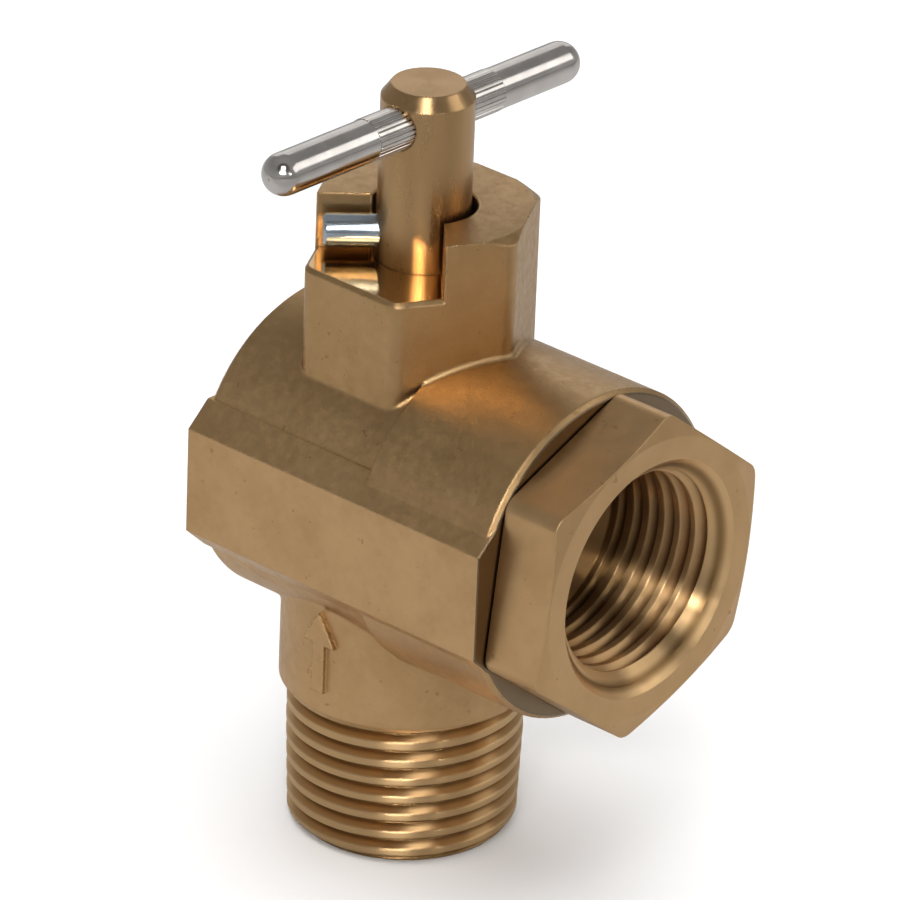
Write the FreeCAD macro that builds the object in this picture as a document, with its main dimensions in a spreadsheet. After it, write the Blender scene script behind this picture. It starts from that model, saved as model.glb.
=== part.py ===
"""Quarter-turn relief valve: angle-pattern brass body, L-port ball, tee handle and stop pin.

Millimetres. +Z runs up the stem, +X points out of the female port, and the origin is where the
stem axis crosses the port axis, at the middle of the ball. The valve is drawn closed.
"""
import FreeCAD, Part
import os

import Sketcher
from FreeCAD import Placement, Rotation, Vector

doc = FreeCAD.newDocument("relief_valve")

# ------------------------------------------------------------------------ driving dimensions
DIMENSIONS = {
    # body forging
    "barrel_radius": 15.25,
    "rear_barrel_radius": 14.6,
    "barrel_step": 6.9,
    "rear_reach": 13.1,
    "front_reach": 21.5,
    "rim_chamfer": 0.45,
    "rear_round": 0.6,
    "pad_reach": 15.3,
    "pad_half_height": 5.0,
    "pad_bevel_height": 7.2,
    "pad_bevel_reach": 12.9,
    "boss_flats": 18.8,
    "boss_round": 1.6,
    "boss_chamfer_radius": 9.7,
    "boss_chamfer_angle": 35,
    "notch_rim": 0.35,
    "boss_top": 26.6,
    "forging_fillet": 0.5,
    "neck_radius": 11.46,
    "neck_bottom": -19.5,
    "neck_chamfer": 0.79,
    # stop notch in the top of the boss
    "notch_floor": 21.45,
    "notch_reach": 30,
    "pin_closed_angle": 135,
    "pin_open_angle": 45,
    "stop_clearance": 0.05,
    # half-inch taper pipe threads, 14 to the inch
    "pipe_pitch": 1.814,
    "pipe_thread_height": 1.45,
    "pipe_root_flat": 0.08,
    "pipe_half_taper": 1.79,
    "male_radius": 10.67,
    "male_end": -33.8,
    "male_taper_start": -24.6,
    "male_tip_radius": 10.38,
    "male_root_radius": 9.42,
    "male_chamfer": 1.0,
    "male_thread_turns": 8.37,
    "male_thread_lead": 1.2,
    "tap_drill_radius": 9.13,
    "female_depth": 12.6,
    "female_root_radius": 9.88,
    "female_thread_start": 0.9,
    "mouth_radius": 11.05,
    # waterway
    "inlet_radius": 6.35,
    "cavity_radius": 9.2,
    "cavity_rear": -9.7,
    "cavity_front": 12.5,
    "ball_radius": 8.7,
    "ball_port_radius": 4.75,
    "flow_radius": 5.2,
    # end fitting
    "hex_flats": 26.5,
    "hex_round": 1.6,
    "hex_back": 21.65,
    "hex_front": 27.9,
    "hex_turn": 7.5,
    "hex_chamfer_radius": 13.1,
    "hex_chamfer_angle": 13,
    "washer_face_radius": 12.9,
    "socket_radius": 12.65,
    "fitting_thread_radius": 12.6,
    "fitting_nose": 9.65,
    "fitting_shoulder": 12.6,
    "fitting_nose_radius": 9.12,
    "seal_groove": 13.4,
    "seal_groove_width": 2.3,
    "seal_groove_radius": 10.85,
    "seal_section": 0.86,
    # ball seats
    "seat_back": 9.6,
    "seat_lip_radius": 7.4,
    "seat_outer_radius": 9.12,
    "seat_gap": 0.03,
    "seat_front_share": 0.5,
    "seat_shoulder_share": 0.62,
    # stem
    "stem_radius": 4.15,
    "stem_top": 37.9,
    "stem_chamfer_run": 0.9,
    "stem_chamfer_drop": 1.2,
    "stem_bore_radius": 4.22,
    "counterbore_radius": 4.7,
    "counterbore_floor": 21.7,
    "counterbore_edge": 0.2,
    "flange_radius": 5.4,
    "flange_bottom": 9.0,
    "flange_top": 10.8,
    "washer_thickness": 0.7,
    "pocket_radius": 5.6,
    "pocket_top": 11.6,
    "tang_bottom": 6.35,
    "tang_width": 7.6,
    "tang_thickness": 3.6,
    "slot_thickness": 3.76,
    "slot_floor": 6.2,
    "ring_groove_radius": 3.06,
    "ring_groove_width": 1.5,
    "ring_section": 0.56,
    "lower_ring_height": 13.6,
    "upper_ring_height": 16.6,
    # tee bar and stop pin
    "bar_radius": 1.93,
    "bar_height": 34.75,
    "bar_near": 19.95,
    "bar_far": 18.9,
    "bar_hole_radius": 2.0,
    "knurl_near": 7.9,
    "knurl_far": 8.0,
    "knurl_radius": 1.99,
    "knurl_depth": 0.14,
    "knurl_teeth": 28,
    "pin_radius": 1.5,
    "pin_inner": 0.1,
    "pin_outer": 8.75,
    "pin_edge": 0.25,
    "pin_height": 23.8,
    "pin_hole_radius": 1.52,
    # raised flow arrow on the neck
    "arrow_face": 11.85,
    "arrow_foot": -17.4,
    "arrow_tip": -9.6,
    "arrow_barb": -12.6,
    "arrow_half_width": 1.9,
    "arrow_shaft": 0.7,
}
# how far past its own edge a hexagon's bevelling cut reaches, so that it clears the corners
BEVEL_RUN = 4

dim = doc.addObject("Spreadsheet::Sheet", "dim")
for row, (alias, value) in enumerate(DIMENSIONS.items(), start=1):
    dim.set(f"A{row}", alias)
    dim.set(f"B{row}", str(value))
    dim.setAlias(f"B{row}", alias)
doc.recompute()

SUB_PARTS = []


# ------------------------------------------------------------------------------------ helpers
def worth(expression):
    """The value that an expression has now."""
    return float(FreeCAD.Units.Quantity(str(dim.evalExpression(expression))).Value)


def new_body(label, finished=True):
    """A body that is a sub-part itself, or the blank of one that is cut further."""
    body = doc.addObject("PartDesign::Body", label)
    body.Label = label
    if finished:
        SUB_PARTS.append(body)
    return body


def new_sketch(body, name, role, shift=None, turn=None):
    """A sketch on one of the body's origin planes, moved along its normal or turned about its upright."""
    sketch = body.newObject("Sketcher::SketchObject", name)
    plane = next(feature for feature in body.Origin.OriginFeatures if feature.Role == role)
    sketch.AttachmentSupport = (plane, [""])
    sketch.MapMode = "FlatFace"
    if turn:
        sketch.AttachmentOffset = Placement(Vector(0, 0, 0), Rotation(Vector(0, -1, 0), worth(turn)))
        sketch.setExpression("AttachmentOffset.Rotation.Angle", turn)
    if shift:
        sketch.setExpression("AttachmentOffset.Base.z", shift)
    return sketch


def bind(sketch, constraint, expression):
    index = sketch.addConstraint(constraint)
    sketch.setExpression(f"Constraints[{index}]", expression)


def fix_point(sketch, edge, end, across, up):
    """Hold a point of a sketch at two expressions; None leaves that direction to another constraint."""
    if across == "0" and up == "0":
        sketch.addConstraint(Sketcher.Constraint("Coincident", edge, end, -1, 1))
        return
    if across == "0":
        sketch.addConstraint(Sketcher.Constraint("PointOnObject", edge, end, -2))
    elif across is not None:
        bind(sketch, Sketcher.Constraint("DistanceX", -1, 1, edge, end, worth(across)), across)
    if up == "0":
        sketch.addConstraint(Sketcher.Constraint("PointOnObject", edge, end, -1))
    elif up is not None:
        bind(sketch, Sketcher.Constraint("DistanceY", -1, 1, edge, end, worth(up)), up)


def outline(sketch, corners):
    """A closed outline of straight edges through corners given as pairs of expressions."""
    points = [Vector(worth(across), worth(up), 0) for across, up in corners]
    count = len(points)
    for i, point in enumerate(points):
        sketch.addGeometry(Part.LineSegment(point, points[(i + 1) % count]))
    for i in range(count):
        sketch.addConstraint(Sketcher.Constraint("Coincident", i, 2, (i + 1) % count, 1))
    for i, (across, up) in enumerate(corners):
        fix_point(sketch, i, 1, across, up)
    return sketch


def circle(sketch, across, up, radius):
    centre = Vector(worth(across), worth(up), 0)
    sketch.addGeometry(Part.Circle(centre, Vector(0, 0, 1), worth(radius)))
    fix_point(sketch, 0, 3, across, up)
    bind(sketch, Sketcher.Constraint("Radius", 0, worth(radius)), radius)
    return sketch


def turned(body, name, kind, sketch, axis):
    """A Revolution or Groove of the whole outline about one of the sketch's own axes."""
    feature = body.newObject("PartDesign::" + kind, name)
    feature.Profile = sketch
    feature.ReferenceAxis = (sketch, [axis])
    feature.Angle = 360
    return feature


def straight(body, name, kind, sketch, length, reverse=False, middle=False):
    """A Pad or Pocket whose length is an expression."""
    feature = body.newObject("PartDesign::" + kind, name)
    feature.Profile = sketch
    feature.setExpression("Length", length)
    feature.Reversed = reverse
    feature.Midplane = middle
    return feature


def thread_cutter(name, start, height, root_radius, outward, onto):
    """A solid worm that cuts a tapered pipe thread about Z, then laid onto another axis by a rotation.

    The worm's profile is a V cut off flat at the root; outward is 1 where the V opens away from the axis.
    """
    reach = f"{root_radius} + {outward} * dim.pipe_thread_height"
    half_root = "dim.pipe_root_flat / 2"
    half_mouth = "(dim.pipe_root_flat / 2 + dim.pipe_thread_height * tan(30))"
    section = doc.addObject("Sketcher::SketchObject", name + "_section")
    section.Placement = Placement(Vector(0, 0, 0), onto * Rotation(Vector(1, 0, 0), 90))
    outline(section, [
        (root_radius, f"{start} - {half_root}"),
        (reach, f"{start} - {half_mouth}"),
        (reach, f"{start} + {half_mouth}"),
        (root_radius, f"{start} + {half_root}"),
    ])
    helix = doc.addObject("Part::Helix", name + "_helix")
    helix.setExpression("Pitch", "dim.pipe_pitch")
    helix.setExpression("Height", height)
    helix.setExpression("Radius", root_radius)
    helix.setExpression("Angle", "dim.pipe_half_taper")
    helix.SegmentLength = 1
    helix.Placement = Placement(onto * Vector(0, 0, worth(start)), onto)
    worm = doc.addObject("Part::Sweep", name)
    worm.Sections = [section]
    worm.Spine = (helix, [])
    worm.Solid = True
    worm.Frenet = True
    return worm


def threaded(label, blank, cutter):
    """The sub-part that is left when the thread's worm is cut out of its blank."""
    cut = doc.addObject("Part::Cut", label)
    cut.Label = label
    cut.Base = blank
    cut.Tool = cutter
    cut.Refine = False
    SUB_PARTS.append(cut)


def dress(body, name, kind, amount, wanted):
    """A Fillet or Chamfer of every edge of the body's tip that the test wants."""
    doc.recompute()
    base = body.Tip
    edges = [f"Edge{i}" for i, edge in enumerate(base.Shape.Edges, start=1) if wanted(edge)]
    feature = body.newObject("PartDesign::" + kind, name)
    feature.Base = (base, edges)
    feature.setExpression("Radius" if kind == "Fillet" else "Size", amount)
    return feature


def samples(edge):
    return edge.discretize(5)


def hexagon(flats, turn="0"):
    """Corners of a hexagon, the first at the turn from the sketch's across direction."""
    return [
        (f"{flats} / sqrt(3) * cos({60 * i} + {turn})", f"{flats} / sqrt(3) * sin({60 * i} + {turn})")
        for i in range(6)
    ]


# --------------------------------------------------------------------------------- valve body
def build_valve_body():
    body = new_body("valve_body_blank", finished=False)

    barrel = outline(new_sketch(body, "barrel_outline", "XZ_Plane"), [
        ("-dim.rear_reach", "0"),
        ("-dim.rear_reach", "dim.rear_barrel_radius - dim.rear_round"),
        ("-dim.rear_reach + dim.rear_round", "dim.rear_barrel_radius"),
        ("dim.barrel_step", "dim.rear_barrel_radius"),
        ("dim.barrel_step", "dim.barrel_radius"),
        ("dim.front_reach - dim.rim_chamfer", "dim.barrel_radius"),
        ("dim.front_reach", "dim.barrel_radius - dim.rim_chamfer"),
        ("dim.front_reach", "0"),
    ])
    turned(body, "barrel", "Revolution", barrel, "H_Axis")

    pads = outline(new_sketch(body, "pad_outline", "YZ_Plane", shift="-dim.rear_reach"), [
        ("dim.pad_reach", "-dim.pad_half_height"),
        ("dim.pad_reach", "dim.pad_half_height"),
        ("dim.pad_bevel_reach", "dim.pad_bevel_height"),
        ("-dim.pad_bevel_reach", "dim.pad_bevel_height"),
        ("-dim.pad_reach", "dim.pad_half_height"),
        ("-dim.pad_reach", "-dim.pad_half_height"),
        ("-dim.pad_bevel_reach", "-dim.pad_bevel_height"),
        ("dim.pad_bevel_reach", "-dim.pad_bevel_height"),
    ])
    straight(body, "side_pads", "Pad", pads, "dim.rear_reach + dim.front_reach")

    neck = outline(new_sketch(body, "neck_outline", "XZ_Plane"), [
        ("0", "0"),
        ("dim.neck_radius", "0"),
        ("dim.neck_radius", "dim.neck_bottom"),
        ("dim.male_radius", "dim.neck_bottom - dim.neck_chamfer"),
        ("dim.male_radius", "dim.male_taper_start"),
        ("dim.male_tip_radius", "dim.male_end + dim.male_chamfer"),
        ("dim.male_tip_radius - dim.male_chamfer", "dim.male_end"),
        ("0", "dim.male_end"),
    ])
    turned(body, "neck", "Revolution", neck, "V_Axis")

    boss = outline(new_sketch(body, "boss_outline", "XY_Plane"), hexagon("dim.boss_flats"))
    straight(body, "boss", "Pad", boss, "dim.boss_top")

    crown = outline(new_sketch(body, "boss_crown_outline", "XZ_Plane"), [
        ("dim.boss_chamfer_radius", "dim.boss_top"),
        (f"dim.boss_chamfer_radius + {BEVEL_RUN}", f"dim.boss_top - {BEVEL_RUN} * tan(dim.boss_chamfer_angle)"),
        (f"dim.boss_chamfer_radius + {BEVEL_RUN}", "dim.boss_top + 1"),
        ("dim.boss_chamfer_radius", "dim.boss_top + 1"),
    ])

    corner = worth("dim.boss_flats / sqrt(3)")

    def boss_corner(edge):
        return all(abs(p.z) > 5 and abs((p.x ** 2 + p.y ** 2) ** 0.5 - corner) < 0.01 for p in samples(edge))

    dress(body, "boss_corners", "Fillet", "dim.boss_round", boss_corner)
    turned(body, "boss_crown", "Groove", crown, "V_Axis")

    arrow = outline(new_sketch(body, "arrow_outline", "XZ_Plane"), [
        ("-dim.arrow_shaft", "dim.arrow_foot"),
        ("dim.arrow_shaft", "dim.arrow_foot"),
        ("dim.arrow_shaft", "dim.arrow_barb"),
        ("dim.arrow_half_width", "dim.arrow_barb"),
        ("0", "dim.arrow_tip"),
        ("-dim.arrow_half_width", "dim.arrow_barb"),
        ("-dim.arrow_shaft", "dim.arrow_barb"),
    ])
    straight(body, "flow_arrow", "Pad", arrow, "dim.arrow_face")

    half_flats = worth("dim.boss_flats / 2")
    rear_radius = worth("dim.rear_barrel_radius")
    front_radius = worth("dim.barrel_radius")
    neck_radius = worth("dim.neck_radius")

    def at_forging_root(edge):
        """Where the boss or the neck meets the barrel."""
        for p in samples(edge):
            around_axis = (p.y ** 2 + p.z ** 2) ** 0.5
            on_barrel = min(abs(around_axis - rear_radius), abs(around_axis - front_radius)) < 0.01
            out = (p.x ** 2 + p.y ** 2) ** 0.5
            on_boss = p.z > 8 and out > half_flats - 0.01
            on_neck = p.z < -8 and abs(out - neck_radius) < 0.01
            if not (on_barrel and (on_boss or on_neck)):
                return False
        return True

    dress(body, "forging_roots", "Fillet", "dim.forging_fillet", at_forging_root)

    # the notch: its two walls stand beside the pin where it stops closed and where it stops open
    wall = "(dim.pin_radius + dim.stop_clearance)"
    closed_wall = (
        f"-dim.notch_reach * cos(180 - dim.pin_closed_angle) - {wall} * sin(180 - dim.pin_closed_angle)",
        f"-dim.notch_reach * sin(180 - dim.pin_closed_angle) + {wall} * cos(180 - dim.pin_closed_angle)",
    )
    open_wall = (
        f"dim.notch_reach * cos(dim.pin_open_angle) + {wall} * sin(dim.pin_open_angle)",
        f"-dim.notch_reach * sin(dim.pin_open_angle) + {wall} * cos(dim.pin_open_angle)",
    )
    notch = outline(new_sketch(body, "notch_outline", "XY_Plane", shift="dim.notch_floor"), [
        ("0", f"{wall} * sqrt(2)"),
        closed_wall,
        ("0", "-2 * dim.notch_reach"),
        open_wall,
    ])
    straight(body, "stop_notch", "Pocket", notch, "dim.boss_top", reverse=True)

    floor = worth("dim.notch_floor")

    def on_notch_rim(edge):
        return all(
            abs(p.z - floor) < 0.01 and (p.x ** 2 + p.y ** 2) ** 0.5 > half_flats - 0.01 for p in samples(edge)
        )

    dress(body, "notch_rim", "Chamfer", "dim.notch_rim", on_notch_rim)

    bores = outline(new_sketch(body, "upright_bore_outline", "XZ_Plane"), [
        ("0", "dim.male_end - 1"),
        ("dim.inlet_radius + 1.6", "dim.male_end - 1"),
        ("dim.inlet_radius", "dim.male_end + 0.6"),
        ("dim.inlet_radius", "0"),
        ("dim.pocket_radius", "0"),
        ("dim.pocket_radius", "dim.pocket_top"),
        ("dim.stem_bore_radius", "dim.pocket_top"),
        ("dim.stem_bore_radius", "dim.counterbore_floor"),
        ("dim.counterbore_radius", "dim.counterbore_floor"),
        ("dim.counterbore_radius", "dim.boss_top - dim.counterbore_edge"),
        ("dim.counterbore_radius + dim.counterbore_edge", "dim.boss_top"),
        ("dim.counterbore_radius + dim.counterbore_edge", "dim.boss_top + 1"),
        ("0", "dim.boss_top + 1"),
    ])
    turned(body, "upright_bores", "Groove", bores, "V_Axis")

    cavity = outline(new_sketch(body, "port_bore_outline", "XZ_Plane"), [
        ("dim.cavity_rear", "0"),
        ("dim.cavity_rear", "dim.cavity_radius"),
        ("dim.cavity_front", "dim.cavity_radius"),
        ("dim.cavity_front", "dim.socket_radius"),
        ("dim.front_reach + 1", "dim.socket_radius"),
        ("dim.front_reach + 1", "0"),
    ])
    turned(body, "port_bores", "Groove", cavity, "H_Axis")

    worm = thread_cutter(
        "male_thread_worm",
        start="(dim.male_end - dim.male_thread_lead)",
        height="dim.male_thread_turns * dim.pipe_pitch",
        root_radius="(dim.male_root_radius - dim.male_thread_lead * tan(dim.pipe_half_taper))",
        outward=1,
        onto=Rotation(),
    )
    threaded("valve_body", body, worm)


# -------------------------------------------------------------------------------- end fitting
def build_end_fitting():
    body = new_body("end_fitting_blank", finished=False)

    flats = outline(
        new_sketch(body, "hex_outline", "YZ_Plane", shift="dim.hex_back"),
        hexagon("dim.hex_flats", "90 - dim.hex_turn"),
    )
    straight(body, "hex", "Pad", flats, "dim.hex_front - dim.hex_back")

    half_across = worth("dim.hex_flats / sqrt(3)")
    dress(body, "hex_corners", "Fillet", "dim.hex_round", lambda edge: all(
        abs((p.y ** 2 + p.z ** 2) ** 0.5 - half_across) < 0.01 for p in samples(edge)
    ))

    bevel = outline(new_sketch(body, "hex_bevel_outline", "XZ_Plane"), [
        ("dim.hex_front", "dim.hex_chamfer_radius"),
        (f"dim.hex_front - {BEVEL_RUN} * tan(dim.hex_chamfer_angle)", f"dim.hex_chamfer_radius + {BEVEL_RUN}"),
        ("dim.hex_front + 1", f"dim.hex_chamfer_radius + {BEVEL_RUN}"),
        ("dim.hex_front + 1", "dim.hex_chamfer_radius"),
    ])
    turned(body, "hex_bevel", "Groove", bevel, "H_Axis")

    spigot = outline(new_sketch(body, "spigot_outline", "XZ_Plane"), [
        ("dim.fitting_nose", "0"),
        ("dim.fitting_nose", "dim.fitting_nose_radius"),
        ("dim.fitting_shoulder", "dim.fitting_nose_radius"),
        ("dim.fitting_shoulder", "dim.fitting_thread_radius"),
        ("dim.front_reach", "dim.fitting_thread_radius"),
        ("dim.front_reach", "dim.washer_face_radius"),
        ("dim.hex_back + 1", "dim.washer_face_radius"),
        ("dim.hex_back + 1", "0"),
    ])
    turned(body, "spigot", "Revolution", spigot, "H_Axis")

    seal_groove = outline(new_sketch(body, "seal_groove_outline", "XZ_Plane"), [
        ("dim.seal_groove", "dim.seal_groove_radius"),
        ("dim.seal_groove + dim.seal_groove_width", "dim.seal_groove_radius"),
        ("dim.seal_groove + dim.seal_groove_width", "dim.fitting_thread_radius + 1"),
        ("dim.seal_groove", "dim.fitting_thread_radius + 1"),
    ])
    turned(body, "seal_groove", "Groove", seal_groove, "H_Axis")

    thread_end = "(dim.hex_front - dim.female_depth)"
    mouth_run = "(dim.mouth_radius - dim.tap_drill_radius)"
    port = outline(new_sketch(body, "port_outline", "XZ_Plane"), [
        ("dim.fitting_nose - 1", "0"),
        ("dim.fitting_nose - 1", "dim.flow_radius"),
        (f"{thread_end} - (dim.tap_drill_radius - dim.flow_radius) * tan(30)", "dim.flow_radius"),
        (thread_end, "dim.tap_drill_radius"),
        (f"dim.hex_front - {mouth_run} * tan(45)", "dim.tap_drill_radius"),
        ("dim.hex_front", "dim.mouth_radius"),
        ("dim.hex_front + 1", "dim.mouth_radius"),
        ("dim.hex_front + 1", "0"),
    ])
    turned(body, "port", "Groove", port, "H_Axis")

    worm = thread_cutter(
        "female_thread_worm",
        start=f"({thread_end} + dim.female_thread_start)",
        height="dim.female_depth + dim.pipe_pitch",
        root_radius="dim.female_root_radius",
        outward=-1,
        onto=Rotation(Vector(0, 1, 0), 90),
    )
    threaded("end_fitting", body, worm)


# ------------------------------------------------------------------------------ ball and seats
def build_ball():
    body = new_body("ball")
    sketch = new_sketch(body, "ball_outline", "XZ_Plane")
    radius = worth("dim.ball_radius")
    sketch.addGeometry(Part.Arc(Vector(0, -radius, 0), Vector(radius, 0, 0), Vector(0, radius, 0)))
    sketch.addGeometry(Part.LineSegment(Vector(0, radius, 0), Vector(0, -radius, 0)))
    sketch.addConstraint(Sketcher.Constraint("Coincident", 0, 3, -1, 1))
    sketch.addConstraint(Sketcher.Constraint("Coincident", 0, 2, 1, 1))
    sketch.addConstraint(Sketcher.Constraint("Coincident", 0, 1, 1, 2))
    sketch.addConstraint(Sketcher.Constraint("PointOnObject", 1, 1, -2))
    bind(sketch, Sketcher.Constraint("Radius", 0, radius), "dim.ball_radius")
    turned(body, "sphere", "Revolution", sketch, "V_Axis")

    inlet = circle(new_sketch(body, "inlet_outline", "XY_Plane"), "0", "0", "dim.ball_port_radius")
    straight(body, "inlet_port", "Pocket", inlet, "2 * dim.ball_radius")

    outlet = circle(new_sketch(body, "outlet_outline", "XZ_Plane"), "0", "0", "dim.ball_port_radius")
    straight(body, "outlet_port", "Pocket", outlet, "2 * dim.ball_radius", reverse=True)

    slot = outline(new_sketch(body, "slot_outline", "YZ_Plane"), [
        ("-dim.slot_thickness / 2", "dim.slot_floor"),
        ("dim.slot_thickness / 2", "dim.slot_floor"),
        ("dim.slot_thickness / 2", "2 * dim.ball_radius"),
        ("-dim.slot_thickness / 2", "2 * dim.ball_radius"),
    ])
    straight(body, "stem_slot", "Pocket", slot, "4 * dim.ball_radius", middle=True)


def build_seat(label, side):
    """A seat ring whose inner face is hollowed to the ball; side is 1 in front of it and -1 behind."""
    body = new_body(label)
    ring = outline(new_sketch(body, label + "_outline", "XZ_Plane"), [
        (f"{side} * dim.seat_back", "dim.flow_radius"),
        (f"{side} * dim.seat_back", "dim.seat_outer_radius"),
        (f"{side} * dim.ball_radius * dim.seat_shoulder_share", "dim.seat_outer_radius"),
        (f"{side} * dim.ball_radius * dim.seat_front_share", "dim.seat_lip_radius"),
        (f"{side} * dim.ball_radius * dim.seat_front_share", "dim.flow_radius"),
    ])
    turned(body, label + "_ring", "Revolution", ring, "H_Axis")

    sketch = new_sketch(body, label + "_hollow_outline", "XZ_Plane")
    hollow = "dim.ball_radius + dim.seat_gap"
    radius = worth(hollow)
    sketch.addGeometry(Part.Arc(Vector(-radius, 0, 0), Vector(0, radius, 0), Vector(radius, 0, 0)))
    sketch.addGeometry(Part.LineSegment(Vector(radius, 0, 0), Vector(-radius, 0, 0)))
    sketch.addConstraint(Sketcher.Constraint("Coincident", 0, 3, -1, 1))
    sketch.addConstraint(Sketcher.Constraint("Coincident", 0, 1, 1, 1))
    sketch.addConstraint(Sketcher.Constraint("Coincident", 0, 2, 1, 2))
    sketch.addConstraint(Sketcher.Constraint("PointOnObject", 1, 1, -1))
    bind(sketch, Sketcher.Constraint("Radius", 0, radius), hollow)
    turned(body, label + "_hollow", "Groove", sketch, "H_Axis")


def build_ring(label, ring_radius, section, place, expression):
    """An O-ring: a torus standing where the placement says, its distance along the axis an expression."""
    ring = doc.addObject("Part::Torus", label)
    ring.Label = label
    ring.setExpression("Radius1", ring_radius)
    ring.setExpression("Radius2", section)
    ring.Placement = place
    ring.setExpression(expression[0], expression[1])
    SUB_PARTS.append(ring)


# ----------------------------------------------------------------------- stem, handle and pin
def build_stem():
    body = new_body("stem")

    def groove(middle):
        return [
            ("dim.stem_radius", f"{middle} - dim.ring_groove_width / 2"),
            ("dim.ring_groove_radius", f"{middle} - dim.ring_groove_width / 2"),
            ("dim.ring_groove_radius", f"{middle} + dim.ring_groove_width / 2"),
            ("dim.stem_radius", f"{middle} + dim.ring_groove_width / 2"),
        ]

    shaft = outline(new_sketch(body, "shaft_outline", "XZ_Plane"), [
        ("0", "dim.flange_bottom"),
        ("dim.flange_radius", "dim.flange_bottom"),
        ("dim.flange_radius", "dim.flange_top"),
        ("dim.stem_radius", "dim.flange_top"),
        *groove("dim.lower_ring_height"),
        *groove("dim.upper_ring_height"),
        ("dim.stem_radius", "dim.stem_top - dim.stem_chamfer_drop"),
        ("dim.stem_radius - dim.stem_chamfer_run", "dim.stem_top"),
        ("0", "dim.stem_top"),
    ])
    turned(body, "shaft", "Revolution", shaft, "V_Axis")

    tang = outline(new_sketch(body, "tang_outline", "XZ_Plane"), [
        ("-dim.tang_width / 2", "dim.tang_bottom"),
        ("dim.tang_width / 2", "dim.tang_bottom"),
        ("dim.tang_width / 2", "dim.flange_bottom + 0.5"),
        ("-dim.tang_width / 2", "dim.flange_bottom + 0.5"),
    ])
    straight(body, "tang", "Pad", tang, "dim.tang_thickness", middle=True)

    bar_hole = circle(
        new_sketch(body, "bar_hole_outline", "XZ_Plane"), "0", "dim.bar_height", "dim.bar_hole_radius"
    )
    straight(body, "bar_hole", "Pocket", bar_hole, "4 * dim.stem_radius", middle=True)

    pin_hole = circle(
        new_sketch(body, "pin_hole_outline", "XZ_Plane", turn="dim.pin_closed_angle - 90"),
        "0", "dim.pin_height", "dim.pin_hole_radius",
    )
    straight(body, "pin_hole", "Pocket", pin_hole, "2 * dim.stem_radius", reverse=True)


def build_washer():
    body = new_body("thrust_washer")
    ring = outline(new_sketch(body, "washer_outline", "XZ_Plane"), [
        ("dim.stem_radius + 0.05", "dim.flange_top + 0.03"),
        ("dim.flange_radius", "dim.flange_top + 0.03"),
        ("dim.flange_radius", "dim.flange_top + 0.03 + dim.washer_thickness"),
        ("dim.stem_radius + 0.05", "dim.flange_top + 0.03 + dim.washer_thickness"),
    ])
    turned(body, "washer", "Revolution", ring, "V_Axis")


def build_tee_bar():
    """Drawn along X and then turned onto Y. Round ends, and a knurled band that grips the stem."""
    body = new_body("tee_bar")
    sketch = new_sketch(body, "bar_outline", "XZ_Plane")
    radius = worth("dim.bar_radius")
    grip = worth("dim.knurl_radius")
    near = worth("dim.bar_near")
    far = worth("dim.bar_far")
    knurl_near = worth("dim.knurl_near")
    knurl_far = worth("dim.knurl_far")
    path = [
        Vector(-near, 0, 0),
        Vector(-near + radius, radius, 0),
        Vector(-knurl_near, radius, 0),
        Vector(-knurl_near, grip, 0),
        Vector(knurl_far, grip, 0),
        Vector(knurl_far, radius, 0),
        Vector(far - radius, radius, 0),
        Vector(far, 0, 0),
    ]
    bow = radius * (1 - 0.5 ** 0.5)
    sketch.addGeometry(Part.Arc(path[0], Vector(-near + bow, radius - bow, 0), path[1]))
    for first, second in zip(path[1:-2], path[2:-1]):
        sketch.addGeometry(Part.LineSegment(first, second))
    sketch.addGeometry(Part.Arc(path[6], Vector(far - bow, radius - bow, 0), path[7]))
    sketch.addGeometry(Part.LineSegment(path[7], path[0]))
    for edge in range(1, 5):
        sketch.addConstraint(Sketcher.Constraint("Coincident", edge, 2, edge + 1, 1))
    # an arc's own start is its clockwise end, so each dome joins its neighbours by the right ends
    for join in ((0, 1, 1, 1), (0, 2, 7, 2), (6, 2, 5, 2), (6, 1, 7, 1)):
        sketch.addConstraint(Sketcher.Constraint("Coincident", *join))
    fix_point(sketch, 0, 3, "-dim.bar_near + dim.bar_radius", "0")
    fix_point(sketch, 6, 3, "dim.bar_far - dim.bar_radius", "0")
    fix_point(sketch, 7, 2, None, "0")
    fix_point(sketch, 7, 1, None, "0")
    bind(sketch, Sketcher.Constraint("Radius", 0, radius), "dim.bar_radius")
    bind(sketch, Sketcher.Constraint("Radius", 6, radius), "dim.bar_radius")
    fix_point(sketch, 1, 1, "-dim.bar_near + dim.bar_radius", None)
    fix_point(sketch, 2, 1, "-dim.knurl_near", "dim.bar_radius")
    fix_point(sketch, 3, 1, "-dim.knurl_near", "dim.knurl_radius")
    fix_point(sketch, 4, 1, "dim.knurl_far", "dim.knurl_radius")
    fix_point(sketch, 5, 1, "dim.knurl_far", "dim.bar_radius")
    fix_point(sketch, 5, 2, "dim.bar_far - dim.bar_radius", None)
    turned(body, "bar", "Revolution", sketch, "H_Axis")

    bottom = "(dim.knurl_radius - dim.knurl_depth)"
    tooth = outline(new_sketch(body, "knurl_outline", "YZ_Plane", shift="-dim.knurl_near"), [
        ("0", bottom),
        ("0.7 * dim.knurl_depth", "dim.knurl_radius + 0.02"),
        ("-0.7 * dim.knurl_depth", "dim.knurl_radius + 0.02"),
    ])
    cut = straight(body, "knurl_groove", "Pocket", tooth, "dim.knurl_near + dim.knurl_far", reverse=True)
    doc.recompute()
    pattern = body.newObject("PartDesign::PolarPattern", "knurl")
    pattern.Originals = [cut]
    pattern.Axis = (tooth, ["N_Axis"])
    pattern.Angle = 360
    pattern.setExpression("Occurrences", "dim.knurl_teeth")
    body.Tip = pattern

    body.Placement = Placement(Vector(0, 0, 0), Rotation(Vector(0, 0, 1), 90))
    body.setExpression("Placement.Base.z", "dim.bar_height")


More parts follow.
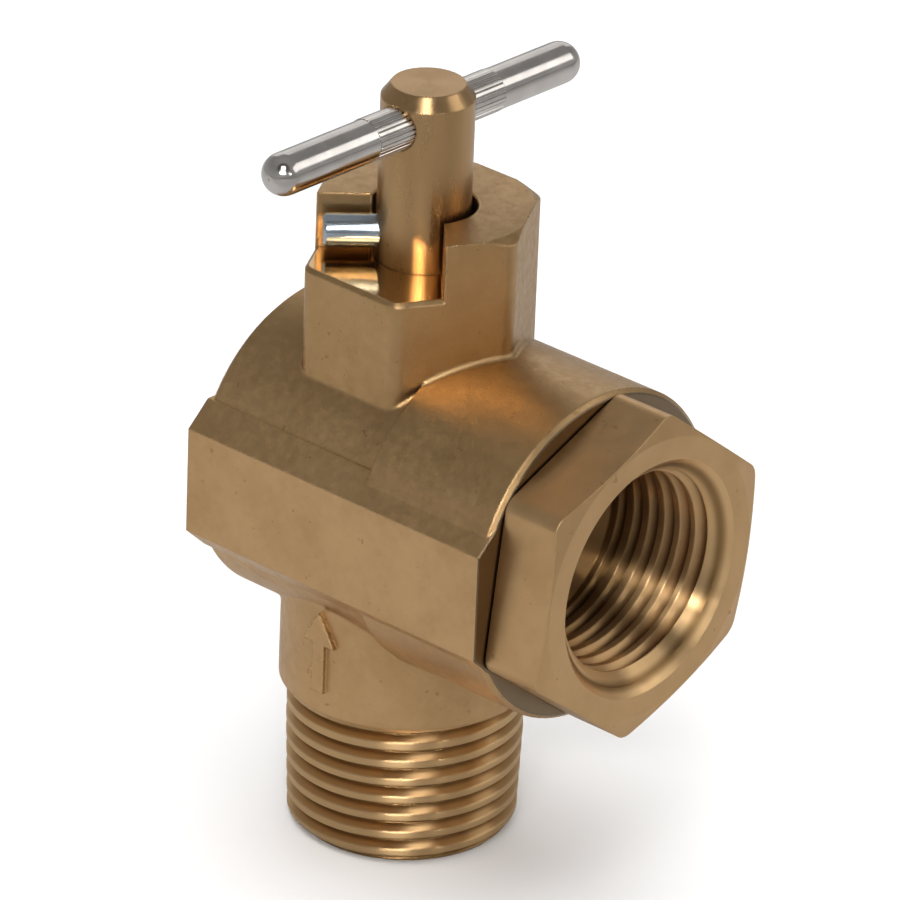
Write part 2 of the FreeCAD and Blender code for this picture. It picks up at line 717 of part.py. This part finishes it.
def build_stop_pin():
    """Drawn along X and then turned to where the pin stands with the valve closed."""
    body = new_body("stop_pin")
    pin = outline(new_sketch(body, "pin_outline", "XZ_Plane"), [
        ("dim.pin_inner", "0"),
        ("dim.pin_inner", "dim.pin_radius"),
        ("dim.pin_outer - dim.pin_edge", "dim.pin_radius"),
        ("dim.pin_outer", "dim.pin_radius - dim.pin_edge"),
        ("dim.pin_outer", "0"),
    ])
    turned(body, "pin", "Revolution", pin, "H_Axis")
    body.Placement = Placement(Vector(0, 0, 0), Rotation(Vector(0, 0, -1), worth("dim.pin_closed_angle")))
    body.setExpression("Placement.Rotation.Angle", "dim.pin_closed_angle")
    body.setExpression("Placement.Base.z", "dim.pin_height")


def build_rings():
    flat = Placement()
    across = Placement(Vector(0, 0, 0), Rotation(Vector(0, 1, 0), 90))
    ring_radius = "dim.ring_groove_radius + 0.02 + dim.ring_section"
    for label in ("lower", "upper"):
        build_ring(
            label + "_stem_ring", ring_radius, "dim.ring_section", flat,
            ("Placement.Base.z", f"dim.{label}_ring_height"),
        )
    build_ring(
        "body_seal", "dim.seal_groove_radius + 0.02 + dim.seal_section", "dim.seal_section", across,
        ("Placement.Base.x", "dim.seal_groove + dim.seal_groove_width / 2"),
    )


build_valve_body()
build_end_fitting()
build_ball()
build_seat("front_seat", 1)
build_seat("rear_seat", -1)
build_stem()
build_washer()
build_tee_bar()
build_stop_pin()
build_rings()
doc.recompute()

# ------------------------------------------------------------------------------------- output
for thing in doc.Objects:
    if "Invalid" in thing.State or "Error" in thing.State:
        raise SystemExit(f"{thing.Label} failed: {thing.State}")
os.makedirs("parts", exist_ok=True)
for sub_part in SUB_PARTS:
    shape = sub_part.Shape
    if shape.isNull() or not shape.isValid() or len(shape.Solids) != 1:
        raise SystemExit(f"{sub_part.Label} has no single valid solid")
    shape.exportStep(f"parts/{sub_part.Label}.step")
    box = shape.BoundBox
    print(
        f"{sub_part.Label}: {shape.Volume:.1f} mm3, x {box.XMin:.2f} to {box.XMax:.2f},"
        f" y {box.YMin:.2f} to {box.YMax:.2f}, z {box.ZMin:.2f} to {box.ZMax:.2f}"
    )
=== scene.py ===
"""Looks of the quarter-turn relief valve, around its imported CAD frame.

Metres; +Z up the stem, +X out of the port.
"""
import math

import bpy
from mathutils import Matrix, Vector


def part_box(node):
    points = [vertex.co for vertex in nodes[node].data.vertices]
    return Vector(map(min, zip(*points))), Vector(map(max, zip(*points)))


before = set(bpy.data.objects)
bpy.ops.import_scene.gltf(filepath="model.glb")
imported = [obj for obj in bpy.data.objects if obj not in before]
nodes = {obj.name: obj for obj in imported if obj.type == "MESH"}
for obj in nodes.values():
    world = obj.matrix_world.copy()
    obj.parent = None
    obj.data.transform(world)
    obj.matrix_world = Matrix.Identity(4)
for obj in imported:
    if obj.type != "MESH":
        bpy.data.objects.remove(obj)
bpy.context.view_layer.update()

MM = 0.001

# ------------------------------------------------------------------------------------- sizes
# read from the frame where a surface has to begin or end on one of its edges
body_low, body_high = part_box("valve_body")
fitting_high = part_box("end_fitting")[1]

THREAD_TOP = body_low.z + 14.3 * MM     # the neck's step: everything below it is machined
NOTCH_FLOOR = body_high.z - 5.15 * MM
BODY_RIM = body_high.x
BORE_RADIUS, BORE_FOOT = 4.9 * MM, 12 * MM       # the stem's bore in the boss
BOSS_FOOT, BOSS_CLEAR = 7 * MM, 11 * MM          # the body is coloured a little darker from the first height to the second
PORT_FACE = fitting_high.x
# painted shade inside the port is darkest at the first and gone at the second
PORT_DEEP, PORT_SHALLOW = PORT_FACE - 13 * MM, PORT_FACE - 3 * MM
MOUTH_RADIUS = 11.05 * MM
FEMALE_CREST = 10.25 * MM                        # inside this radius the port is thread
TAPER = 1 / 32                          # what a taper pipe thread gains in radius along its length
MALE_ROOT, MALE_START = 9.42 * MM, body_low.z
FEMALE_ROOT, FEMALE_START = 9.88 * MM, PORT_FACE - 11.7 * MM
ON_FACE = 0.05 * MM                              # how near a plane counts as lying on it


# ------------------------------------------------------------------------- material building
class Nodes:
    """A short way to write node trees: each call adds one node and returns the socket it makes."""

    def __init__(self, name):
        self.material = bpy.data.materials.new(name)
        self.material.use_nodes = True
        self.tree = self.material.node_tree
        self.tree.nodes.clear()
        self.place = self.add("ShaderNodeTexCoord").outputs["Object"]
        split = self.add("ShaderNodeSeparateXYZ")
        self.link(self.place, split.inputs[0])
        self.x, self.y, self.z = split.outputs

    @property
    def facing(self):
        """The three parts of the way that the surface faces."""
        split = self.add("ShaderNodeSeparateXYZ")
        self.link(self.add("ShaderNodeTexCoord").outputs["Normal"], split.inputs[0])
        return split.outputs

    def add(self, kind, **settings):
        node = self.tree.nodes.new(kind)
        for key, value in settings.items():
            setattr(node, key, value)
        return node

    def link(self, value, socket):
        if isinstance(value, bpy.types.NodeSocket):
            self.tree.links.new(value, socket)
        elif isinstance(value, tuple) and len(value) == 3 and socket.type == "RGBA":
            socket.default_value = (*value, 1.0)
        else:
            socket.default_value = value

    def math(self, operation, *values, clamp=False):
        node = self.add("ShaderNodeMath", operation=operation, use_clamp=clamp)
        for value, socket in zip(values, node.inputs):
            self.link(value, socket)
        return node.outputs[0]

    def mul(self, a, b):
        return self.math("MULTIPLY", a, b)

    def plus(self, a, b):
        return self.math("ADD", a, b)

    def less(self, a, b):
        return self.math("LESS_THAN", a, b)

    def more(self, a, b):
        return self.math("GREATER_THAN", a, b)

    def either(self, *masks):
        out = masks[0]
        for mask in masks[1:]:
            out = self.math("MAXIMUM", out, mask)
        return out

    def ramp(self, value, low, high, to_low=0.0, to_high=1.0):
        node = self.add("ShaderNodeMapRange", interpolation_type="SMOOTHSTEP")
        for socket, number in zip(node.inputs, (value, low, high, to_low, to_high)):
            self.link(number, socket)
        return node.outputs[0]

    def vector(self, x, y, z):
        node = self.add("ShaderNodeCombineXYZ")
        for value, socket in zip((x, y, z), node.inputs):
            self.link(value, socket)
        return node.outputs[0]

    def noise(self, size, detail=2.0, rough=0.5, at=None, distort=0.0):
        """Noise whose features are about that many metres across; 0.5 is its middle."""
        node = self.add("ShaderNodeTexNoise")
        self.link(at if at is not None else self.place, node.inputs["Vector"])
        node.inputs["Scale"].default_value = 1.0 / size
        node.inputs["Detail"].default_value = detail
        node.inputs["Roughness"].default_value = rough
        node.inputs["Distortion"].default_value = distort
        return node.outputs["Fac"]

    def mix(self, share, a, b):
        node = self.add("ShaderNodeMix", data_type="FLOAT")
        self.link(share, node.inputs[0])
        self.link(a, node.inputs[2])
        self.link(b, node.inputs[3])
        return node.outputs[0]

    def tint(self, share, a, b, blend="MIX"):
        node = self.add("ShaderNodeMix", data_type="RGBA", blend_type=blend)
        self.link(share, node.inputs[0])
        self.link(a, node.inputs[6])
        self.link(b, node.inputs[7])
        return node.outputs[2]

    def radius_about(self, a, b):
        return self.math("SQRT", self.plus(self.mul(a, a), self.mul(b, b)))

    def stretched(self, sizes):
        """The place, divided by a size in each direction, for noise that runs along the largest."""
        return self.vector(*(self.mul(part, 1 / size) for part, size in zip((self.x, self.y, self.z), sizes)))

    def turning(self, radius, along, pitch=0.11 * MM, wander=3.0 * MM):
        """Fine tool marks: noise that changes fast with the radius and along the axis, slowly round it."""
        fast = self.vector(self.mul(radius, 1.0 / pitch), self.mul(along, 1.0 / pitch), 0.0)
        slow = self.noise(wander, detail=1.0)
        at = self.add("ShaderNodeVectorMath", operation="ADD")
        self.link(fast, at.inputs[0])
        self.link(self.vector(0.0, 0.0, slow), at.inputs[1])
        return self.noise(1.0, detail=2.0, at=at.outputs[0])

    def edges(self, radius):
        """Rounds the edges by that radius, and gives 1 on a sharp edge and 0 on an open face."""
        node = self.add("ShaderNodeBevel", samples=5)
        node.inputs["Radius"].default_value = radius
        self.rounded = node.outputs[0]
        flat = self.add("ShaderNodeNewGeometry")
        dot = self.add("ShaderNodeVectorMath", operation="DOT_PRODUCT")
        self.link(self.rounded, dot.inputs[0])
        self.link(flat.outputs["Normal"], dot.inputs[1])
        return self.ramp(dot.outputs["Value"], 0.995, 0.86)

    def painted_occlusion(self, distance):
        """Painted shade from occlusion: 1 far into a corner, 0 in the open. self.shade is 1 where something
        stands over the face, for painted shade under it.
        """
        node = self.add("ShaderNodeAmbientOcclusion", samples=4)
        node.inputs["Distance"].default_value = distance
        self.shade = self.ramp(node.outputs["AO"], 1.0, 0.35)
        return self.ramp(node.outputs["AO"], 0.65, 0.15)

    def surface(self, colour, rough, heights, anisotropy=0.0, tangent="Z", metallic=1.0):
        """The surface: heights is a list of (height, strength, metres), laid one over the other."""
        shader = self.add("ShaderNodeBsdfPrincipled")
        self.link(colour, shader.inputs["Base Color"])
        self.link(rough, shader.inputs["Roughness"])
        self.link(metallic, shader.inputs["Metallic"])
        if anisotropy:
            self.link(anisotropy, shader.inputs["Anisotropic"])
            lay = self.add("ShaderNodeTangent", direction_type="RADIAL", axis=tangent)
            self.link(lay.outputs[0], shader.inputs["Tangent"])
            shader.inputs["Anisotropic Rotation"].default_value = 0.25
        normal = self.rounded
        for height, strength, distance in heights:
            bump = self.add("ShaderNodeBump")
            self.link(strength, bump.inputs["Strength"])
            bump.inputs["Distance"].default_value = distance
            self.link(height, bump.inputs["Height"])
            self.link(normal, bump.inputs["Normal"])
            normal = bump.outputs[0]
        self.link(normal, shader.inputs["Normal"])
        out = self.add("ShaderNodeOutputMaterial")
        self.link(shader.outputs[0], out.inputs["Surface"])
        return self.material


# --------------------------------------------------------------------------------- materials
BRASS_PALE = (0.66, 0.42, 0.205)
BRASS = (0.60, 0.375, 0.178)
BRASS_SHADE_AND_DARK_TONE = (0.30, 0.165, 0.06)
BRASS_CUT = (0.80, 0.53, 0.26)
RIM_PAINTED_SHADE = (0.20, 0.15, 0.10)
BRASS_PAINTED_SHADE = (0.20, 0.10, 0.03)
BRASS_DIMMING = (0.83, 0.83, 0.80)
STEM_TONE = (0.86, 0.86, 0.86)


def brass_colour(n, mottle, corner_shade, edge):
    """Tan brass: patches a little paler and darker, painted shade under overhangs and in its corners, and
    paler on its sharp edges, partly rubbed brass and partly a painted highlight.
    """
    colour = n.tint(mottle, BRASS, BRASS_PALE)
    # painted shade: darker where something stands over the face, and darker still in corners
    colour = n.tint(n.mul(n.shade, 0.4), colour, BRASS_SHADE_AND_DARK_TONE)
    colour = n.tint(n.mul(corner_shade, 0.7), colour, BRASS_SHADE_AND_DARK_TONE)
    # paler on sharp edges: partly rubbed brass, partly a painted highlight
    return n.tint(n.mul(edge, 0.55), colour, BRASS_CUT)


def groove(n, radius, along, root, start):
    """1 at the root of a taper thread, 0 on its crests."""
    bottom = n.plus(root, n.mul(n.math("SUBTRACT", along, start), TAPER))
    depth = n.math("ABSOLUTE", n.math("SUBTRACT", radius, bottom))
    return n.ramp(depth, 0.05 * MM, 0.55 * MM, 1.0, 0.0)


def pits(n):
    """Small scattered dents."""
    return n.ramp(n.noise(1.1 * MM, detail=2.0, rough=0.7), 0.68, 0.74)


def forged_brass():
    """The body: a blasted forging, with machined thread, bores, notch floor and rim."""
    n = Nodes("brass_forged")
    upright = n.radius_about(n.x, n.y)
    thread = n.less(n.z, THREAD_TOP)
    rim = n.more(n.x, BODY_RIM - 0.1 * MM)
    level = n.less(n.math("ABSOLUTE", n.math("SUBTRACT", n.z, NOTCH_FLOOR)), ON_FACE)
    floor = n.mul(level, n.more(n.facing[2], 0.9))
    bore = n.mul(n.less(upright, BORE_RADIUS), n.more(n.z, BORE_FOOT))
    cut = n.either(thread, rim, floor, bore)

    mottle = n.ramp(n.noise(6 * MM, detail=4.0, rough=0.6), 0.35, 0.65)
    corner_shade = n.painted_occlusion(7.0 * MM)
    edge = n.edges(0.3 * MM)
    dents = n.mul(pits(n), n.math("SUBTRACT", 1.0, cut))
    clouds = n.ramp(n.noise(8 * MM, detail=6.0, rough=0.7), 0.42, 0.7, 0.0, 0.5)
    upper = n.ramp(n.z, BOSS_FOOT, BOSS_CLEAR)
    colour = brass_colour(n, mottle, corner_shade, edge)
    # random tarnish clouds, and the colour a little darker above the boss foot
    colour = n.tint(n.math("MAXIMUM", clouds, upper), colour, BRASS_DIMMING, blend="MULTIPLY")
    colour = n.tint(n.mul(dents, 0.5), colour, BRASS_SHADE_AND_DARK_TONE)
    colour = n.tint(n.mul(cut, 0.7), colour, BRASS_CUT)
    colour = n.tint(n.mul(floor, 0.6), colour, BRASS_CUT)
    # painted shade: the rim's face, in shade beside the end fitting, is coloured dark
    colour = n.tint(n.mul(rim, 0.9), colour, RIM_PAINTED_SHADE)
    # painted shade along the roots of the thread
    root = n.mul(thread, groove(n, upright, n.z, MALE_ROOT, MALE_START))
    colour = n.tint(n.mul(root, 0.85), colour, BRASS_SHADE_AND_DARK_TONE)

    speck = n.noise(0.3 * MM, detail=3.0, rough=0.65)
    swell = n.noise(2.6 * MM, detail=3.0, rough=0.55)
    lines = n.turning(upright, n.z)
    rough = n.ramp(n.noise(0.9 * MM, detail=5.0, rough=0.7), 0.3, 0.7, 0.28, 0.48)
    rough = n.mix(cut, rough, 0.28)
    rough = n.mix(thread, rough, 0.36)
    rough = n.mix(floor, rough, 0.13)
    rough = n.mix(n.mul(edge, 0.6), rough, 0.22)
    forged = n.math("SUBTRACT", 1.0, cut)
    heights = [
        (swell, n.mul(forged, 0.14), 0.08 * MM),
        (speck, n.mul(forged, 0.8), 0.03 * MM),
        (dents, n.mul(forged, -0.5), 0.06 * MM),
        (lines, n.mul(n.math("SUBTRACT", cut, floor), 0.35), 0.012 * MM),
    ]
    return n.surface(colour, rough, heights, anisotropy=n.mul(thread, 0.95))


def turned_brass_port():
    """The end fitting: hexagon bar, faced and bored, its thread freshly cut."""
    n = Nodes("brass_port")
    radius = n.radius_about(n.y, n.z)
    face = n.more(n.x, PORT_FACE - 0.03 * MM)
    inside = n.less(radius, MOUTH_RADIUS)
    turned = n.either(face, inside)
    mottle = n.ramp(n.noise(7 * MM, detail=4.0), 0.35, 0.65)
    corner_shade = n.painted_occlusion(7.0 * MM)
    edge = n.edges(0.18 * MM)
    colour = brass_colour(n, mottle, corner_shade, edge)
    colour = n.tint(n.mul(n.mul(pits(n), n.math("SUBTRACT", 1.0, inside)), 0.4), colour, BRASS_SHADE_AND_DARK_TONE)
    colour = n.tint(n.mul(inside, 0.8), colour, BRASS_CUT)
    # painted shade along the roots of the thread
    root = n.mul(inside, groove(n, radius, n.x, FEMALE_ROOT, FEMALE_START))
    colour = n.tint(n.mul(root, 0.75), colour, BRASS_PAINTED_SHADE)
    # painted shade, darker further into the bore
    painted_bore_shade = n.mul(inside, n.ramp(n.x, PORT_DEEP, PORT_SHALLOW, 0.85, 0.0))
    colour = n.tint(painted_bore_shade, colour, BRASS_PAINTED_SHADE)
    threaded = n.mul(inside, n.less(radius, FEMALE_CREST))
    lines = n.turning(radius, n.x)
    drawn = n.noise(1.0, detail=2.0, at=n.stretched((2.5 * MM, 0.25 * MM, 0.25 * MM)))
    swell = n.noise(4.0 * MM, detail=2.0)
    speck = n.noise(0.3 * MM, detail=3.0, rough=0.65)
    rough = n.ramp(n.noise(1.5 * MM, detail=4.0, rough=0.6), 0.3, 0.7, 0.30, 0.42)
    rough = n.mix(threaded, rough, 0.36)
    heights = [
        (swell, 0.12, 0.06 * MM),
        (speck, n.mul(n.math("SUBTRACT", 1.0, inside), 0.3), 0.02 * MM),
        (drawn, n.mul(n.math("SUBTRACT", 1.0, turned), 0.3), 0.015 * MM),
        (lines, n.mul(turned, 0.3), 0.012 * MM),
    ]
    return n.surface(colour, rough, heights, anisotropy=n.mul(threaded, 0.95), tangent="X")


def turned_brass_stem():
    """The stem: turned bar, streaked along its length and a little darker than the body."""
    n = Nodes("brass_stem")
    radius = n.radius_about(n.x, n.y)
    streaks = n.stretched((0.9 * MM, 0.9 * MM, 5 * MM))
    mottle = n.ramp(n.noise(1.0, detail=4.0, rough=0.6, at=streaks), 0.3, 0.7)
    corner_shade = n.painted_occlusion(4.0 * MM)
    edge = n.edges(0.25 * MM)
    colour = n.tint(1.0, brass_colour(n, mottle, corner_shade, edge), STEM_TONE, blend="MULTIPLY")
    lines = n.turning(radius, n.z, pitch=0.14 * MM)
    speck = n.noise(0.35 * MM, detail=3.0, rough=0.65)
    colour = n.tint(n.mul(mottle, 0.25), colour, BRASS_SHADE_AND_DARK_TONE)
    rough = n.mix(mottle, 0.34, 0.26)
    heights = [(speck, 0.2, 0.012 * MM), (lines, 0.1, 0.01 * MM)]
    return n.surface(colour, rough, heights, anisotropy=0.5)


def plated(name, pale, shade, rough, lay, bevel):
    """Plated steel: fine marks across the lay, faint cloudiness, painted shade in its corners, and a trace of
    wear.
    """
    n = Nodes(name)
    cloud = n.ramp(n.noise(3 * MM, detail=3.0), 0.35, 0.65)
    n.edges(bevel)
    colour = n.tint(cloud, shade, pale)
    # painted shade in corners
    colour = n.tint(n.mul(n.painted_occlusion(1.2 * MM), 0.6), colour, tuple(0.45 * c for c in shade))
    long_way = n.noise(1.0, detail=2.0, at=n.stretched(lay))
    roughness = n.ramp(n.noise(1.3 * MM, detail=3.0), 0.3, 0.7, rough * 0.8, rough * 1.25)
    return n.surface(colour, roughness, [(long_way, 0.2, 0.008 * MM)])


def seat_plastic():
    n = Nodes("seat_plastic")
    cloud = n.ramp(n.noise(3 * MM, detail=2.0), 0.3, 0.7)
    n.edges(0.1 * MM)
    colour = n.tint(cloud, (0.74, 0.73, 0.69), (0.84, 0.83, 0.80))
    # painted shade in corners
    colour = n.tint(n.mul(n.painted_occlusion(1.0 * MM), 0.5), colour, (0.5, 0.48, 0.42))
    marks = n.turning(n.radius_about(n.y, n.z), n.x, pitch=0.2 * MM)
    return n.surface(colour, 0.42, [(marks, 0.25, 0.01 * MM)], metallic=0.0)


def seal_rubber():
    n = Nodes("seal_rubber")
    dust = n.ramp(n.noise(0.5 * MM, detail=4.0), 0.45, 0.75)
    n.edges(0.05 * MM)
    colour = n.tint(dust, (0.018, 0.018, 0.018), (0.045, 0.044, 0.042))
    grain = n.noise(0.12 * MM, detail=2.0)
    return n.surface(colour, n.mix(dust, 0.45, 0.62), [(grain, 0.3, 0.006 * MM)], metallic=0.0)


NICKEL, NICKEL_SHADE = (0.70, 0.66, 0.62), (0.63, 0.59, 0.55)
ZINC, ZINC_SHADE = (0.54, 0.61, 0.67), (0.40, 0.46, 0.52)
CHROME, CHROME_SHADE = (0.82, 0.82, 0.83), (0.74, 0.74, 0.76)

seat = seat_plastic()
rubber = seal_rubber()
finishes = {
    "valve_body": forged_brass(),
    "end_fitting": turned_brass_port(),
    "stem": turned_brass_stem(),
    "tee_bar": plated("nickel", NICKEL, NICKEL_SHADE, 0.15, (0.3 * MM, 4 * MM, 0.3 * MM), 0.06 * MM),
    "stop_pin": plated("zinc", ZINC, ZINC_SHADE, 0.2, (0.5 * MM, 0.5 * MM, 0.15 * MM), 0.15 * MM),
    "ball": plated("ball_chrome", CHROME, CHROME_SHADE, 0.08, (1 * MM, 1 * MM, 1 * MM), 0.1 * MM),
    "front_seat": seat,
    "rear_seat": seat,
    "thrust_washer": seat,
    "lower_stem_ring": rubber,
    "upper_stem_ring": rubber,
    "body_seal": rubber,
}
for name, material in finishes.items():
    mesh = nodes[name].data
    mesh.materials.clear()
    mesh.materials.append(material)


# ------------------------------------------------------------------------------------- stage
def plain(name, colour, rough, glow=0.0):
    material = bpy.data.materials.new(name)
    material.use_nodes = True
    shader = material.node_tree.nodes["Principled BSDF"]
    shader.inputs["Base Color"].default_value = (*colour, 1.0)
    shader.inputs["Roughness"].default_value = rough
    shader.inputs["Emission Color"].default_value = (1.0, 1.0, 1.0, 1.0)
    shader.inputs["Emission Strength"].default_value = glow
    return material


ROOM = 6.0
TABLE_LIGHT, TABLE_SHADE = (0.41, 0.41, 0.41), (0.275, 0.275, 0.275)
SHADE_SIDE = 62                                  # degrees: the side of the table that is darker


def direction(azimuth, elevation):
    """A unit vector. Azimuth 0 is on the -Y side and 90 on +X."""
    a, e = math.radians(azimuth), math.radians(elevation)
    return Vector((math.sin(a) * math.cos(e), -math.cos(a) * math.cos(e), math.sin(e)))


def sheet(name, corners, faces, material, seen=True):
    """A part of the room, either seen by the camera or only reflected in the metal."""
    mesh = bpy.data.meshes.new(name)
    mesh.from_pydata(corners, [], faces)
    mesh.materials.append(material)
    thing = bpy.data.objects.new(name, mesh)
    bpy.context.scene.collection.objects.link(thing)
    thing.visible_camera = seen
    thing.visible_glossy = not seen
    thing.visible_diffuse = False
    thing.visible_shadow = False


def table_paper():
    """Grey, and a little darker on the side where the camera stands."""
    n = Nodes("table_paper")
    shadow = direction(SHADE_SIDE, 0)
    toward = n.plus(n.mul(n.x, shadow.x), n.mul(n.y, shadow.y))
    shader = n.add("ShaderNodeBsdfDiffuse")
    n.link(n.tint(n.ramp(toward, 0.0, 0.12), TABLE_LIGHT, TABLE_SHADE), shader.inputs["Color"])
    n.link(shader.outputs[0], n.add("ShaderNodeOutputMaterial").inputs["Surface"])
    return n.material


half = ROOM / 2
ground = body_low.z
corners = [(-half, -half), (half, -half), (half, half), (-half, half)]
base = [(x, y, ground) for x, y in corners]
sheet("floor", base, [(0, 1, 2, 3)], plain("floor_paper", (0.86, 0.86, 0.86), 0.8))
sheet("table", base, [(0, 1, 2, 3)], table_paper(), seen=False)
sheet(
    "walls",
    [(x, y, z) for z in (ground, ground + ROOM) for x, y in corners],
    [(0, 1, 5, 4), (1, 2, 6, 5), (2, 3, 7, 6), (3, 0, 4, 7)],
    plain("wall_paper", (0.9, 0.9, 0.9), 0.9, glow=0.8),
)

# the room that the metal reflects: its brightness by height, from straight down to straight up
SKY = [(0.0, 0.5), (0.45, 0.5), (0.52, 0.36), (0.6, 0.32), (0.8, 0.24), (1.0, 0.30)]
# darker parts of it: azimuth, elevation, the angles between which it fades, and what is left inside
DARK = [(38, 50, 20, 36, 0.15), (70, -10, 20, 60, 0.7)]

world = bpy.data.worlds.new("studio")
bpy.context.scene.world = world
world.use_nodes = True
tree = world.node_tree
tree.nodes.clear()


def world_node(kind, *values, **settings):
    node = tree.nodes.new(kind)
    for key, value in settings.items():
        setattr(node, key, value)
    for value, socket in zip(values, node.inputs):
        if isinstance(value, bpy.types.NodeSocket):
            tree.links.new(value, socket)
        elif value is not None:
            socket.default_value = value
    return node.outputs


around = world_node("ShaderNodeTexCoord")["Generated"]
height = world_node("ShaderNodeSeparateXYZ", around)[2]
height = world_node("ShaderNodeMapRange", height, -1.0, 1.0)[0]
level = world_node("ShaderNodeValToRGB", height)[0]
stops = level.node.color_ramp.elements
while len(stops) < len(SKY):
    stops.new(1.0)
for stop, (at, bright) in zip(stops, SKY):
    stop.position = at
    stop.color = (bright, bright, bright, 1.0)
for azimuth, elevation, inner, outer, left in DARK:
    dark_way = direction(azimuth, elevation)
    toward = world_node("ShaderNodeVectorMath", around, dark_way, operation="DOT_PRODUCT")["Value"]
    limits = math.cos(math.radians(outer)), math.cos(math.radians(inner))
    fade = world_node("ShaderNodeMapRange", toward, *limits, 1.0, left, interpolation_type="SMOOTHSTEP")[0]
    level = world_node("ShaderNodeMath", level, fade, operation="MULTIPLY")[0]
world_node("ShaderNodeOutputWorld", world_node("ShaderNodeBackground", level)[0])


def softbox(name, azimuth, elevation, distance, width, height, glow):
    """An area light that faces the object; glow is how bright it looks."""
    light = bpy.data.lights.new(name, "AREA")
    light.shape = "RECTANGLE"
    light.size, light.size_y = width, height
    light.energy = glow * math.pi * width * height
    thing = bpy.data.objects.new(name, light)
    away = direction(azimuth, elevation)
    thing.location = away * distance
    thing.rotation_mode = "QUATERNION"
    thing.rotation_quaternion = away.to_track_quat("Z", "Y")
    bpy.context.scene.collection.objects.link(thing)
    return thing


# azimuth and elevation in degrees, distance, width and height in metres, brightness
softbox("key", 38, 52, 0.9, 0.26, 0.32, 6)
softbox("side", 128, 31, 1.1, 0.7, 0.5, 1.3)
softbox("strip", 36, 30, 0.9, 0.36, 0.055, 50)
softbox("glint", 78, 22, 0.9, 0.06, 0.06, 30)
softbox("backdrop", 222, 26, 1.2, 1.1, 0.7, 0.55)
ceiling = softbox("ceiling", 0, 90, 1.3, 1.6, 1.6, 2.7)
ceiling.visible_glossy = False

# ------------------------------------------------------------------------------------ camera
AZIMUTH, ELEVATION, ROLL = 41.6, 26.2, 2.3       # degrees
DISTANCE = 0.7
SCALE = 11.296                                   # pixels to a millimetre where the camera looks
AIM_RIGHT, AIM_UP = 3.2 * MM, 2.2 * MM           # the middle of the view, from the frame's origin
FRAME_PIXELS, SENSOR = 900, 36.0

back = direction(AZIMUTH, ELEVATION)
right = Vector((math.cos(math.radians(AZIMUTH)), math.sin(math.radians(AZIMUTH)), 0.0))
up = back.cross(right)
roll = math.radians(ROLL)
cam_right = right * math.cos(roll) + up * math.sin(roll)
cam_up = -right * math.sin(roll) + up * math.cos(roll)
lens = bpy.data.cameras.new("camera")
lens.sensor_width = SENSOR
lens.lens = SENSOR * SCALE * (DISTANCE / MM) / FRAME_PIXELS
lens.clip_start, lens.clip_end = 0.05, 20.0
camera = bpy.data.objects.new("camera", lens)
eye = cam_right * AIM_RIGHT + cam_up * AIM_UP + back * DISTANCE
camera.matrix_world = Matrix((
    (cam_right.x, cam_up.x, back.x, eye.x),
    (cam_right.y, cam_up.y, back.y, eye.y),
    (cam_right.z, cam_up.z, back.z, eye.z),
    (0, 0, 0, 1),
))
bpy.context.scene.collection.objects.link(camera)
bpy.context.scene.camera = camera
bpy.context.scene.view_settings.view_transform = "Standard"
